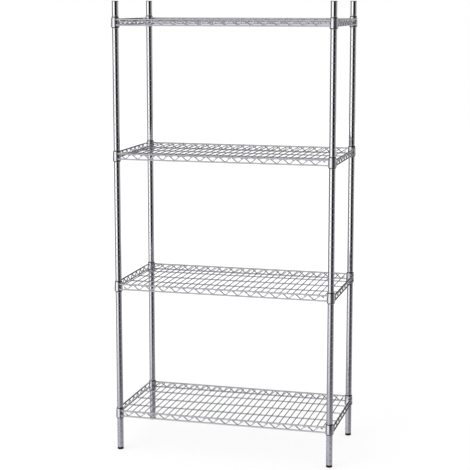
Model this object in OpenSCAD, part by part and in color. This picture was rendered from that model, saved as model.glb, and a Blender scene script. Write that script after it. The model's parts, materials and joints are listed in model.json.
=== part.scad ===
// A free-standing chrome wire shelving unit: four grooved tube posts carry four welded wire shelves.
// Each shelf has a tapered collar at each corner, and the collar wedges down over a split plastic
// sleeve whose bead sits in one of the post's rolled grooves. A screw-in foot levels each post.
// All sizes are in millimetres. The origin is on the floor at the middle, +X is right, +Y is back.

/* [Overall] */
// Length of a shelf, left to right, over its corner collars
shelf_length = 914.4; // [600:0.1:1220]
// Depth of a shelf, front to back, over its corner collars
shelf_depth = 457.2; // [340:0.1:620]

/* [Posts] */
// Length of a post's tube
post_length = 1828.8; // [1800:0.1:2200]
// Outside diameter of a post's tube
post_d = 25.4; // [22:0.1:32]
// Wall of a post's tube
post_wall = 1.5; // [1:0.1:2.5]
// Distance from one rolled groove to the next
groove_pitch = 25.4; // [20:0.1:25.6]
// Depth of a rolled groove
groove_depth = 0.5; // [0.3:0.05:0.8]
// Width of a rolled groove at the tube's surface
groove_width = 2.4; // [2:0.1:4]
// Width of a rolled groove's flat floor
groove_floor = 1; // [0.6:0.1:1.8]
// Height of the lowest groove above the tube's bottom end
first_groove = 19.4; // [15:0.1:24]
// Plain length that is left above the top groove
plain_top = 26; // [20:0.5:40]
// Bevel on the tube's end edges
tube_bevel = 0.4; // [0.1:0.1:0.8]

/* [Shelf heights] */
// Number of grooves below the one that carries the lowest shelf
lowest_shelf_groove = 5; // [4:1:6]
// Number of grooves from one shelf up to the next
shelf_spacing_grooves = 21; // [10:1:21]

/* [Split sleeves] */
// Height of a sleeve
sleeve_height = 44; // [40:0.5:50]
// Wall of a sleeve at its bottom edge
sleeve_wall_bottom = 1.75; // [1.4:0.05:2.5]
// Wall of a sleeve at its top edge
sleeve_wall_top = 0.9; // [0.7:0.05:1.3]
// Radial clearance between a sleeve and its post
sleeve_clearance = 0.15; // [0.05:0.01:0.3]
// Clearance between a sleeve's bead and the floor of its groove
bead_clearance = 0.15; // [0.05:0.01:0.25]
// Gap along the seam between the two halves of a sleeve
seam_gap = 0.6; // [0.3:0.1:1.2]
// Height of the tongue that locates one half on the other
tongue_height = 8; // [4:0.5:14]
// Reach of the tongue past the seam
tongue_reach = 3; // [1.5:0.1:4]

/* [Collars] */
// Height of a collar
collar_height = 38; // [32:0.5:39]
// Wall of a collar at its bottom edge
collar_wall_bottom = 2.35; // [1.8:0.05:3]
// Wall of a collar at its top edge
collar_wall_top = 1.7; // [1.2:0.05:2.3]
// Radial clearance between a collar and the sleeve inside it
collar_clearance = 0.1; // [0.02:0.01:0.2]
// Radius of the collar's rounded top shoulder
collar_shoulder = 1.2; // [0.5:0.1:1.6]
// Bevel on the collar's bottom edge
collar_bevel = 0.5; // [0.2:0.1:1]

/* [Shelf wires] */
// Diameter of the rim wires, an upper and a lower one on each side
rim_d = 6; // [5:0.1:7]
// Height from the lower rim wires' axis to the upper ones'
truss_height = 21.5; // [18:0.1:24]
// Clearance from the ends of the rim wires to the collar's bore
rim_end_clearance = 0.25; // [0.1:0.05:0.6]
// Diameter of the zigzag wire between the rim wires
snake_d = 4.2; // [3:0.1:5]
// Height from the zigzag's low bends to its high ones, over the wire's axis
snake_rise = 17.5; // [13.5:0.1:17.9]
// Radius of the zigzag's bends, to the wire's axis
snake_bend = 5; // [3:0.1:6]
// Wanted spacing of the cross wires, rounded so that a whole number fits between two posts
cross_pitch_wanted = 25.9; // [22:0.1:30]
// Diameter of the cross wires that carry the load, front to back
cross_d = 3.4; // [2.5:0.1:4]
// Length of a cross wire beyond the axis of the rim wire that it is welded under
cross_overhang = 1; // [0:0.1:2]
// Diameter of the stringers that run left to right under the cross wires
stringer_d = 5; // [4:0.1:5.6]
// Depth to which two wires sink into each other at a weld
weld_sink = 0.15; // [0.05:0.01:0.3]

/* [Feet and caps] */
// Diameter of a foot's pad
pad_d = 25; // [20:0.1:32]
// Height of a foot's pad
pad_height = 9.2; // [7:0.1:14]
// Radius of the pad's rounded bottom edge
pad_edge = 1.6; // [0.5:0.1:2.5]
// Gap between the pad and the tube when the foot is screwed right in
pad_gap = 0.3; // [0.2:0.05:1]
// Diameter of the foot's threaded stud
stud_d = 10; // [8:0.1:12]
// Length of the stud above the bottom end of the tube when the foot is screwed right in
stud_reach = 32; // [26:0.5:40]
// Diameter of the stud's head, which is held inside the pad
stud_head_d = 16; // [13:0.1:18]
// Thickness of the stud's head
stud_head_height = 3; // [2:0.1:3.4]
// Thickness of the pad below the stud's head
pad_floor = 2.8; // [2:0.1:3]
// Running clearance around the stud and its head
stud_clearance = 0.05; // [0.02:0.01:0.1]
// Length of the threaded insert in the bottom end of the tube
insert_length = 16; // [12:0.1:18]
// Clearance of an insert or a cap's plug in the tube's bore
plug_clearance = 0.05; // [0.02:0.01:0.1]
// Diameter of a cap's flange on the top end of the tube
cap_d = 27; // [26:0.1:30]
// Thickness of a cap's flange
cap_height = 2.2; // [1.5:0.1:4]
// Radius of the flange's rounded top edge
cap_edge = 1; // [0.3:0.1:1.4]
// Length of a cap's plug inside the tube
cap_plug_length = 14; // [8:0.5:18]
// Wall of a cap's hollow plug
cap_plug_wall = 2; // [1.2:0.1:3]

/* [Hidden] */
SHELVES = [1, 2, 3, 4];
// Each corner's name, its side along X and its side along Y
CORNERS = [
    ["front_left", -1, -1],
    ["front_right", 1, -1],
    ["back_left", -1, 1],
    ["back_right", 1, 1]
];
POST_PIECES = ["foot_pad_", "foot_stud_", "foot_insert_", "post_", "cap_"];
SHELF_PIECES = ["cross_wires_", "stringers_", "rim_wires_", "truss_wires_", "collars_"];

// Fineness of round shapes, and of the small bends of the zigzag wire
$fn = 48;
BEND_FN = 96;

CHROME = [0.78, 0.79, 0.82];
STEEL = [0.55, 0.56, 0.58];
BLACK = [0.09, 0.09, 0.1];
GREY = [0.3, 0.3, 0.32];

// Tube and feet
post_r = post_d / 2;
bore_r = post_r - post_wall;
post_z = pad_height + pad_gap;
post_top = post_z + post_length;
groove_flank = (groove_width - groove_floor) / 2;
groove_count = floor((post_length - first_groove - plain_top) / groove_pitch) + 1;

// Sleeve, whose middle is the height of the groove that it holds on to
sleeve_r = post_r + sleeve_clearance;
bead_reach = sleeve_clearance + groove_depth - bead_clearance;
sleeve_bottom_r = sleeve_r + sleeve_wall_bottom;
sleeve_top_r = sleeve_r + sleeve_wall_top;
sleeve_bevel = sleeve_wall_top / 3;

// Collar, with its bore a clearance outside the sleeve's tapered face
collar_bottom_r = collar_bore(-collar_height / 2) + collar_wall_bottom;
collar_top_r = collar_bore(collar_height / 2) + collar_wall_top;

// Middle of a post from the middle of the unit
post_x = shelf_length / 2 - collar_bottom_r;
post_y = shelf_depth / 2 - collar_bottom_r;

// Rim wires, flush with the outside of the collars, from the middle of the unit
rim_r = rim_d / 2;
rim_x = shelf_length / 2 - rim_r;
rim_y = shelf_depth / 2 - rim_r;
rim_z = truss_height / 2;
rim_inner_edge = collar_bottom_r - rim_d;
rim_end_r = collar_bore(-collar_height / 2) + rim_end_clearance;
rim_end = sqrt(max(0, rim_end_r * rim_end_r - rim_inner_edge * rim_inner_edge));

// Cross wires under the upper rim wires, and stringers under the cross wires
cross_r = cross_d / 2;
cross_gaps = round(2 * post_x / cross_pitch_wanted);
cross_pitch = 2 * post_x / cross_gaps;
cross_z = rim_z - rim_r - cross_r + weld_sink;
stringer_r = stringer_d / 2;
stringer_z = cross_z - cross_r - stringer_r + weld_sink;

// Zigzag wire inside the rim wires, with one bend for each gap between two cross wires
snake_r = snake_d / 2;
snake_drop = (truss_height - snake_rise) / 2;
snake_touch = rim_r + snake_r - weld_sink;
snake_inset = sqrt(snake_touch * snake_touch - snake_drop * snake_drop);
long_bends = cross_gaps - 2;
side_bends = floor(2 * (post_y - cross_pitch) / cross_pitch);
bend_z = snake_rise / 2 - snake_bend;
bend_step = norm([cross_pitch, 2 * bend_z]);
snake_slope = atan2(2 * bend_z, cross_pitch) + asin(2 * snake_bend / bend_step);
stringer_end = rim_x - snake_inset - snake_r + weld_sink;
// A bend is this much fatter than the straight wire, which laps this far into it
bend_swell = 0.02;
bend_lap = 0.2;

// Height of a groove, counted from 0 at the bottom, and of the middle of a shelf
function groove_z(index) = post_z + first_groove + index * groove_pitch;
function shelf_z(shelf) = groove_z(lowest_shelf_groove + (shelf - 1) * shelf_spacing_grooves);

// Radius of the sleeve's tapered face, and of the collar's bore, at a height from their middle
function sleeve_face(z) =
    sleeve_bottom_r + (sleeve_top_r - sleeve_bottom_r) * (z / sleeve_height + 0.5);
function collar_bore(z) = sleeve_face(z) + collar_clearance;

// Points of a quarter round from straight out to straight up, about its own middle
function quarter(x, z, radius) =
    [for (turn = [0:15:90]) [x + radius * cos(turn), z + radius * sin(turn)]];
// The same quarter round turned down, from straight down to straight out
function quarter_down(x, z, radius) =
    [for (turn = [-90:15:0]) [x + radius * cos(turn), z + radius * sin(turn)]];

// Puts what it holds on the axis of a corner's post
module at_corner(corner) {
    translate([corner[1] * post_x, corner[2] * post_y, 0]) children();
}

// A straight round wire from one point to another, longer by a lap at each end
module wire(from, to, radius, lap = 0) {
    run = to - from;
    length = norm(run);
    translate(from)
        rotate([0, acos(run[2] / length), atan2(run[1], run[0])])
            translate([0, 0, -lap])
                cylinder(r = radius, h = length + 2 * lap);
}

// Round tube with rolled grooves all the way up its outside
module post(corner) {
    groove = [
        [post_r, -groove_width / 2],
        [post_r - groove_depth, -groove_width / 2 + groove_flank],
        [post_r - groove_depth, groove_width / 2 - groove_flank],
        [post_r, groove_width / 2]
    ];
    outside = [
        for (index = [0:groove_count - 1])
            for (point = groove) [point[0], groove_z(index) + point[1]]
    ];
    color(CHROME) at_corner(corner) rotate_extrude() polygon(concat(
        [[bore_r, post_z], [post_r - tube_bevel, post_z], [post_r, post_z + tube_bevel]],
        outside,
        [[post_r, post_top - tube_bevel], [post_r - tube_bevel, post_top], [bore_r, post_top]]
    ));
}

// Flanged cap with a hollow plug in the tube's top end
module cap(corner) {
    plug_r = bore_r - plug_clearance;
    color(GREY) at_corner(corner) rotate_extrude() polygon(concat(
        [
            [0, post_top],
            [plug_r - cap_plug_wall, post_top],
            [plug_r - cap_plug_wall, post_top - cap_plug_length],
            [plug_r, post_top - cap_plug_length],
            [plug_r, post_top],
            [cap_d / 2, post_top]
        ],
        quarter(cap_d / 2 - cap_edge, post_top + cap_height - cap_edge, cap_edge),
        [[0, post_top + cap_height]]
    ));
}

// Threaded bush in the tube's bottom end, with its thread as a plain bore
module foot_insert(corner) {
    color(STEEL) at_corner(corner) translate([0, 0, post_z]) difference() {
        cylinder(r = bore_r - plug_clearance, h = insert_length);
        translate([0, 0, -1])
            cylinder(r = stud_d / 2 + stud_clearance, h = insert_length + 2);
    }
}

// Levelling stud, whose head is held inside the pad
module foot_stud(corner) {
    color(STEEL) at_corner(corner) {
        translate([0, 0, pad_floor])
            cylinder(d = stud_head_d, h = stud_head_height);
        translate([0, 0, pad_floor])
            cylinder(d = stud_d, h = post_z + stud_reach - pad_floor);
    }
}

// Round pad on the floor, moulded around the stud's head
module foot_pad(corner) {
    hole_r = stud_d / 2 + stud_clearance;
    pocket_r = stud_head_d / 2 + stud_clearance;
    pocket_low = pad_floor - stud_clearance;
    pocket_high = pad_floor + stud_head_height + stud_clearance;
    color(BLACK) at_corner(corner) rotate_extrude() polygon(concat(
        [[0, 0]],
        quarter_down(pad_d / 2 - pad_edge, pad_edge, pad_edge),
        [
            [pad_d / 2, pad_height],
            [hole_r, pad_height],
            [hole_r, pocket_high],
            [pocket_r, pocket_high],
            [pocket_r, pocket_low],
            [0, pocket_low]
        ]
    ));
}

// The space of one half of a sleeve: a half turn, with a tongue past one seam and a notch at the other
module half_sleeve_space() {
    reach = sleeve_bottom_r + 1;
    notch_reach = tongue_reach + seam_gap;
    notch_height = tongue_height + 2 * seam_gap;
    difference() {
        union() {
            translate([-reach, seam_gap / 2, -sleeve_height])
                cube([2 * reach, reach, 2 * sleeve_height]);
            translate([0, -tongue_reach, -tongue_height / 2])
                cube([reach, tongue_reach + seam_gap, tongue_height]);
        }
        translate([-reach, 0, -notch_height / 2])
            cube([reach, notch_reach, notch_height]);
    }
}

// Two half sleeves round a post, wider at the bottom, with a bead in one groove
module sleeve(shelf, corner) {
    half_height = sleeve_height / 2;
    bead_r = sleeve_r - bead_reach;
    bead_tip = max(0.4, groove_floor - 0.2) / 2;
    bead_root = bead_tip + bead_reach * groove_flank / groove_depth;
    color(BLACK) at_corner(corner) translate([0, 0, shelf_z(shelf)])
        for (turn = [0, 180])
            rotate([0, 0, turn]) intersection() {
                rotate_extrude() polygon([
                    [sleeve_r, -half_height],
                    [sleeve_bottom_r, -half_height],
                    [sleeve_face(half_height - sleeve_bevel), half_height - sleeve_bevel],
                    [sleeve_top_r - sleeve_bevel, half_height],
                    [sleeve_r, half_height],
                    [sleeve_r, bead_root],
                    [bead_r, bead_tip],
                    [bead_r, -bead_tip],
                    [sleeve_r, -bead_root]
                ]);
                half_sleeve_space();
            }
}

// The four tapered collars at the corners of a shelf
module collars(shelf) {
    half_height = collar_height / 2;
    shoulder_z = half_height - collar_shoulder;
    color(CHROME) for (corner = CORNERS)
        at_corner(corner) translate([0, 0, shelf_z(shelf)]) rotate_extrude() polygon(concat(
            [
                [collar_bore(-half_height), -half_height],
                [collar_bottom_r - collar_bevel, -half_height],
                [collar_bottom_r, -half_height + collar_bevel]
            ],
            quarter(collar_top_r - collar_shoulder, shoulder_z, collar_shoulder),
            [[collar_bore(half_height), half_height]]
        ));
}

// Upper and lower rim wires along all four sides, which end in the walls of the collars
module rim_wires(shelf) {
    along_x = post_x - rim_end;
    along_y = post_y - rim_end;
    color(CHROME) translate([0, 0, shelf_z(shelf)])
        for (z = [-rim_z, rim_z])
            for (side = [-1, 1]) {
                wire([-along_x, side * rim_y, z], [along_x, side * rim_y, z], rim_r);
                wire([side * rim_x, -along_y, z], [side * rim_x, along_y, z], rim_r);
            }
}

// Middle of a bend of the zigzag along X, and the points where the straight wire enters and leaves it
function bend_side(index) = index % 2 == 0 ? -1 : 1;
function bend_x(index, count) = (index - (count - 1) / 2) * cross_pitch;
function bend_end(index, count, way) = [
    bend_x(index, count) + way * snake_bend * sin(snake_slope),
    0,
    bend_side(index) * (bend_z + snake_bend * cos(snake_slope))
];

// One zigzag wire along X: it starts and ends at half height, and its first bend is a low one
module zigzag(count) {
    end_x = count * cross_pitch / 2;
    for (index = [0:count - 1])
        translate([bend_x(index, count), 0, bend_side(index) * bend_z])
            rotate([90, 0, 0])
                rotate([0, 0, bend_side(index) * 90 - snake_slope])
                    rotate_extrude(angle = 2 * snake_slope, $fn = BEND_FN)
                        translate([snake_bend, 0])
                            circle(r = snake_r + bend_swell);
    for (index = [0:count - 2])
        wire(bend_end(index, count, 1), bend_end(index + 1, count, -1), snake_r, bend_lap);
    wire([-end_x, 0, 0], bend_end(0, count, -1), snake_r, bend_lap);
    wire(bend_end(count - 1, count, 1), [end_x, 0, 0], snake_r, bend_lap);
}

// The four zigzag wires of a shelf; each is the opposite one turned half round
module truss_wires(shelf) {
    color(CHROME) translate([0, 0, shelf_z(shelf)])
        for (turn = [0, 180]) {
            rotate([0, 0, turn]) translate([0, snake_inset - rim_y, 0]) zigzag(long_bends);
            rotate([0, 0, turn + 90]) translate([0, snake_inset - rim_x, 0]) zigzag(side_bends);
        }
}

// Cross wires, front to back, welded under the upper rim wires
module cross_wires(shelf) {
    reach = rim_y + cross_overhang;
    color(CHROME) translate([0, 0, shelf_z(shelf) + cross_z])
        for (index = [1:cross_gaps - 1]) {
            x = index * cross_pitch - post_x;
            wire([x, -reach, 0], [x, reach, 0], cross_r);
        }
}

// Three stringers, left to right, which tie the cross wires to the zigzags of the two short sides
module stringers(shelf) {
    color(CHROME) translate([0, 0, shelf_z(shelf) + stringer_z])
        for (place = [-1, 0, 1])
            wire(
                [-stringer_end, place * post_y / 2, 0],
                [stringer_end, place * post_y / 2, 0],
                stringer_r
            );
}

for (corner = CORNERS) {
    foot_pad(corner);
    foot_stud(corner);
    foot_insert(corner);
    post(corner);
    cap(corner);
}
for (shelf = SHELVES) {
    for (corner = CORNERS)
        sleeve(shelf, corner);
    cross_wires(shelf);
    stringers(shelf);
    rim_wires(shelf);
    truss_wires(shelf);
    collars(shelf);
}
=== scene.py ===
"""The looks of a free-standing chrome wire shelving unit.

Four grooved tube posts carry four welded wire shelves on tapered corner collars. All sizes are in metres, in
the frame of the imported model: +Z up, +X to the right along the shelves, the front facing -Y, and the origin
on the floor.
"""

import json
import logging
import math
from dataclasses import dataclass, field
from enum import Enum
from functools import cache

import bmesh
import bpy
from mathutils import Matrix, Vector

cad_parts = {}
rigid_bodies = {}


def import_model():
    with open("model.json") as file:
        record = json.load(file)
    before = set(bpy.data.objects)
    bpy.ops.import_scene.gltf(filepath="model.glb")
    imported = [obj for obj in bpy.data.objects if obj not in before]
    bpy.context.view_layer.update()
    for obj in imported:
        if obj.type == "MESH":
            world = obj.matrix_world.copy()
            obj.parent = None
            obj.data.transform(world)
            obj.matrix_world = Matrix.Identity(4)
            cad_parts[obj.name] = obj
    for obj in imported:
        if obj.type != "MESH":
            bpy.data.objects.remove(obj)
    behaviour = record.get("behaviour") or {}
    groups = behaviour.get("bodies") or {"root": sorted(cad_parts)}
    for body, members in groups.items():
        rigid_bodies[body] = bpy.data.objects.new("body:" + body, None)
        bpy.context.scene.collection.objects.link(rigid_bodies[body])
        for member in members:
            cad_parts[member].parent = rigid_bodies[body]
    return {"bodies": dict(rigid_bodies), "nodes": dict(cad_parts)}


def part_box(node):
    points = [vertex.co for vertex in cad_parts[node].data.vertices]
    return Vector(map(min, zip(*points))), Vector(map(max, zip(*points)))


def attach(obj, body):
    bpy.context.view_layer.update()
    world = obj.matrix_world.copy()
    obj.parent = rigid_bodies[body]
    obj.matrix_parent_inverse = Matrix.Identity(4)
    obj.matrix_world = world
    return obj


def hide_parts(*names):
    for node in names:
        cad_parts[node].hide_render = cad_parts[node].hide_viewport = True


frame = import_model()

SHELVES = (1, 2, 3, 4)
MERGE_DISTANCE = 0.000004
SMOOTH_ANGLE = math.radians(38)
SHARP_ANGLE = math.radians(30)
BROKEN_EDGE_SHARE = 0.22
NODE_SPACING = 190
WHITE = (1.0, 1.0, 1.0)

# The Mix node's sockets for colours share their names with its others, so they are taken by number.
MIX_FACTOR, MIX_FIRST, MIX_SECOND, MIX_RESULT = 0, 6, 7, 2

Triple = tuple[float, float, float]
Profile = list[tuple[float, float]]
Weld = tuple[Vector, Vector]
Piece = bpy.types.Object
Socket = bpy.types.NodeSocket
Tree = bpy.types.NodeTree

logging.basicConfig(level=logging.INFO, format="%(levelname)s %(message)s")
log = logging.getLogger("wire_shelving")


class Corner(Enum):
    """A corner of the unit, as its side along X and its side along Y."""

    FRONT_LEFT = (-1, -1)
    FRONT_RIGHT = (1, -1)
    BACK_LEFT = (-1, 1)
    BACK_RIGHT = (1, 1)

    @property
    def label(self) -> str:
        """The corner's name, as the nodes end in it."""
        return self.name.lower()

    @property
    def axis(self) -> Vector:
        """The point on the floor under the middle of the corner's post."""
        low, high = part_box(f"post_{self.label}")
        return Vector(((low.x + high.x) / 2, (low.y + high.y) / 2, 0))


class Slot(Enum):
    """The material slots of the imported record."""

    POST = "post_chrome"
    SHELF = "shelf_chrome"
    COLLAR = "collar_chrome"
    SLEEVE = "sleeve_plastic"
    FOOT = "foot_plastic"
    CAP = "cap_plastic"
    STEEL = "steel"


class NodeBoard:
    """Adds shader nodes to one tree and joins them."""

    def __init__(self, tree: Tree) -> None:
        """Empties a tree to start on it."""
        self.tree = tree
        self.tree.nodes.clear()

    def feed(self, target: Socket, value: object) -> None:
        """Leads a socket into an input, or sets the input to a number or a colour.

        Args:
            target: The input.
            value: A socket, a number, or a colour as three numbers.
        """
        if isinstance(value, Socket):
            self.tree.links.new(value, target)
        else:
            target.default_value = (*value, 1) if isinstance(value, tuple) else value

    def add(self, kind: str, feeds: dict | None = None, **settings: object) -> bpy.types.Node:
        """Adds a node.

        Args:
            kind: The node's type, such as ShaderNodeMath.
            feeds: What each input takes, by the input's name or number.
            settings: The node's own options by name.

        Returns:
            The new node.
        """
        node = self.tree.nodes.new(kind)
        node.location.x = NODE_SPACING * len(self.tree.nodes)
        for name, value in settings.items():
            setattr(node, name, value)
        for name, value in (feeds or {}).items():
            self.feed(node.inputs[name], value)
        return node

    def math(self, operation: str, *values: object) -> Socket:
        """Adds a Math node that takes one to three sockets or numbers, and returns its output."""
        return self.add("ShaderNodeMath", dict(enumerate(values)), operation=operation).outputs[0]

    def ramp_between(
        self, value: Socket, low: float, high: float, to_low: float = 0.0, to_high: float = 1.0
    ) -> Socket:
        """Maps a value from between low and high to between to_low and to_high, and clamps it."""
        feeds = {"Value": value, "From Min": low, "From Max": high, "To Min": to_low, "To Max": to_high}
        return self.add("ShaderNodeMapRange", feeds, clamp=True).outputs["Result"]

    def mix_colour(self, factor: object, first: object, second: object) -> Socket:
        """Mixes two colours or sockets, all of the first at 0 and all of the second at 1."""
        feeds = {MIX_FACTOR: factor, MIX_FIRST: first, MIX_SECOND: second}
        return self.add("ShaderNodeMix", feeds, data_type="RGBA").outputs[MIX_RESULT]

    def bump(self, height: Socket, strength: float, distance: float) -> Socket:
        """Adds a Bump node and returns its normal."""
        feeds = {"Strength": strength, "Distance": distance, "Height": height}
        return self.add("ShaderNodeBump", feeds).outputs["Normal"]

    def colour_ramp(self, value: Socket, stops: list[tuple[float, Triple]]) -> Socket:
        """Adds a colour ramp.

        Args:
            value: The socket that moves along the ramp.
            stops: Each stop's place from 0 to 1 and its colour.

        Returns:
            The ramp's colour.
        """
        node = self.add("ShaderNodeValToRGB", {"Fac": value})
        elements = node.color_ramp.elements
        while len(elements) < len(stops):
            elements.new(0.5)
        for element, (place, colour) in zip(elements, sorted(stops)):
            element.position = place
            element.color = (*colour, 1)
        return node.outputs["Color"]


class GroupBoard(NodeBoard):
    """A board on a new shader node group, which takes a vector called Vector and some numbers."""

    def __init__(self, name: str, inputs: dict[str, float], outputs: tuple[str, ...]) -> None:
        """Makes the group with its sockets.

        Args:
            name: The group's name.
            inputs: The number inputs' names and usual values, with Scale among them.
            outputs: The number outputs' names.
        """
        super().__init__(bpy.data.node_groups.new(name, "ShaderNodeTree"))
        sockets = self.tree.interface
        sockets.new_socket("Vector", in_out="INPUT", socket_type="NodeSocketVector")
        for label, value in inputs.items():
            sockets.new_socket(label, in_out="INPUT", socket_type="NodeSocketFloat").default_value = value
        for label in outputs:
            sockets.new_socket(label, in_out="OUTPUT", socket_type="NodeSocketFloat")
        self.given = self.add("NodeGroupInput").outputs

    def noise(self, vector: Socket, detail: float, roughness: float) -> Socket:
        """Adds a noise texture at the group's Scale and returns its value."""
        feeds = {"Vector": vector, "Scale": self.given["Scale"], "Detail": detail, "Roughness": roughness}
        return self.add("ShaderNodeTexNoise", feeds).outputs["Fac"]

    def finish(self, **values: Socket) -> Tree:
        """Leads each value to the output of its name and returns the group."""
        self.add("NodeGroupOutput", values)
        return self.tree


@cache
def cloudy_haze() -> Tree:
    """Slow, cloudy change of gloss over a plated or moulded surface.

    Returns:
        A group with inputs Vector and Scale, and the output Value.
    """
    board = GroupBoard("cloudy_haze", {"Scale": 20.0}, ("Value",))
    clouds = board.noise(board.given["Vector"], detail=4, roughness=0.62)
    return board.finish(Value=board.ramp_between(clouds, low=0.33, high=0.67))


@cache
def fine_marks() -> Tree:
    """Hair-fine drawing and handling marks that run along Z of the given vector.

    Returns:
        A group with inputs Vector, Scale and Run, and the outputs Height and Mask.
    """
    board = GroupBoard("fine_marks", {"Scale": 900.0, "Run": 0.04}, ("Height", "Mask"))
    squeeze = board.add("ShaderNodeCombineXYZ", {"X": 1, "Y": 1, "Z": board.given["Run"]})
    feeds = {0: board.given["Vector"], 1: squeeze.outputs["Vector"]}
    stretch = board.add("ShaderNodeVectorMath", feeds, operation="MULTIPLY")
    marks = board.noise(stretch.outputs["Vector"], detail=3, roughness=0.7)
    return board.finish(Height=marks, Mask=board.ramp_between(marks, low=0.6, high=0.74))


@cache
def settled_dust() -> Tree:
    """Thin dust that lies on faces that look up, in loose patches.

    Returns:
        A group with inputs Vector, Scale and Amount, and the output Mask.
    """
    board = GroupBoard("settled_dust", {"Scale": 60.0, "Amount": 0.2}, ("Mask",))
    normal = board.add("ShaderNodeNewGeometry").outputs["Normal"]
    rise = board.add("ShaderNodeSeparateXYZ", {"Vector": normal}).outputs["Z"]
    upward = board.ramp_between(rise, low=0.2, high=0.95)
    clouds = board.noise(board.given["Vector"], detail=5, roughness=0.5)
    patches = board.ramp_between(clouds, low=0.42, high=0.66)
    covered = board.math("MULTIPLY", upward, patches)
    return board.finish(Mask=board.math("MULTIPLY", covered, board.given["Amount"]))


class MaterialBoard(NodeBoard):
    """A board on a new material, whose patterns read Object coordinates."""

    def __init__(self, name: str) -> None:
        """Makes the empty material.

        Args:
            name: The material's name.
        """
        self.material = bpy.data.materials.new(name)
        self.material.use_nodes = True
        super().__init__(self.material.node_tree)
        self.place = self.add("ShaderNodeTexCoord").outputs["Object"]

    def effect(self, group: Tree, **values: float) -> bpy.types.Node:
        """Places a shared group with its own values in the material."""
        return self.add("ShaderNodeGroup", {"Vector": self.place, **values}, node_tree=group)

    def covered_by(self, shader: Socket) -> bpy.types.Material:
        """Leads a shader to the surface and returns the material."""
        self.add("ShaderNodeOutputMaterial", {"Surface": shader})
        return self.material

    def principled(self, feeds: dict[str, object]) -> bpy.types.Material:
        """Covers the surface with a Principled shader that takes the feeds, and returns the material."""
        return self.covered_by(self.add("ShaderNodeBsdfPrincipled", feeds).outputs["BSDF"])


@dataclass(frozen=True)
class ChromePlate:
    """Bright chrome plate over steel, with a faint haze, fine marks and a little dust on top."""

    name: str
    clear: Triple
    hazy: Triple
    gloss: tuple[float, float]
    haze_scale: float
    mark_height: float
    dust: float
    mark_strength: float = 0.25
    mark_roughness: float = 0.05
    dust_roughness: float = 0.5
    dust_colour: Triple = (0.62, 0.61, 0.59)

    def material(self) -> bpy.types.Material:
        """Builds the chrome.

        Returns:
            The material.
        """
        board = MaterialBoard(self.name)
        haze = board.effect(cloudy_haze(), Scale=self.haze_scale).outputs["Value"]
        marks = board.effect(fine_marks()).outputs
        dust = board.effect(settled_dust(), Amount=self.dust).outputs["Mask"]
        gloss = board.ramp_between(haze, 0, 1, *self.gloss)
        scuffed = board.math("MULTIPLY_ADD", marks["Mask"], self.mark_roughness, gloss)
        tint = board.mix_colour(haze, self.clear, self.hazy)
        return board.principled({
            "Base Color": board.mix_colour(dust, tint, self.dust_colour),
            "Metallic": 1,
            "Roughness": board.math("MULTIPLY_ADD", dust, self.dust_roughness, scuffed),
            "Normal": board.bump(marks["Height"], self.mark_strength, self.mark_height),
        })


@dataclass(frozen=True)
class MouldedPlastic:
    """Moulded plastic with a fine spark-eroded grain, slightly dusty on top."""

    name: str
    colour: Triple
    worn: Triple
    gloss: tuple[float, float]
    grain_height: float
    dust: float
    shine: float
    haze_scale: float = 90.0
    grain_scale: float = 2600.0
    grain_strength: float = 0.35
    dust_scale: float = 150.0
    dust_colour: Triple = (0.36, 0.35, 0.34)

    def material(self) -> bpy.types.Material:
        """Builds the plastic.

        Returns:
            The material.
        """
        board = MaterialBoard(self.name)
        haze = board.effect(cloudy_haze(), Scale=self.haze_scale).outputs["Value"]
        dust = board.effect(settled_dust(), Scale=self.dust_scale, Amount=self.dust).outputs["Mask"]
        grain = board.add("ShaderNodeTexVoronoi", {"Vector": board.place, "Scale": self.grain_scale})
        tint = board.mix_colour(haze, self.colour, self.worn)
        return board.principled({
            "Base Color": board.mix_colour(dust, tint, self.dust_colour),
            "Specular IOR Level": self.shine,
            "Roughness": board.ramp_between(haze, 0, 1, *self.gloss),
            "Normal": board.bump(grain.outputs["Distance"], self.grain_strength, self.grain_height),
        })


@dataclass(frozen=True)
class ZincPlate:
    """Bright zinc plate on turned steel, with pale and yellowish clouds."""

    name: str
    pale: Triple
    warm: Triple
    gloss: tuple[float, float]
    cloud_scale: float = 160.0
    mark_scale: float = 1400.0
    mark_run: float = 1.0
    mark_strength: float = 0.3
    mark_height: float = 0.00003

    def material(self) -> bpy.types.Material:
        """Builds the zinc plate.

        Returns:
            The material.
        """
        board = MaterialBoard(self.name)
        clouds = board.effect(cloudy_haze(), Scale=self.cloud_scale).outputs["Value"]
        marks = board.effect(fine_marks(), Scale=self.mark_scale, Run=self.mark_run)
        return board.principled({
            "Base Color": board.mix_colour(clouds, self.pale, self.warm),
            "Metallic": 1,
            "Roughness": board.ramp_between(clouds, 0, 1, *self.gloss),
            "Normal": board.bump(marks.outputs["Height"], self.mark_strength, self.mark_height),
        })


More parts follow.
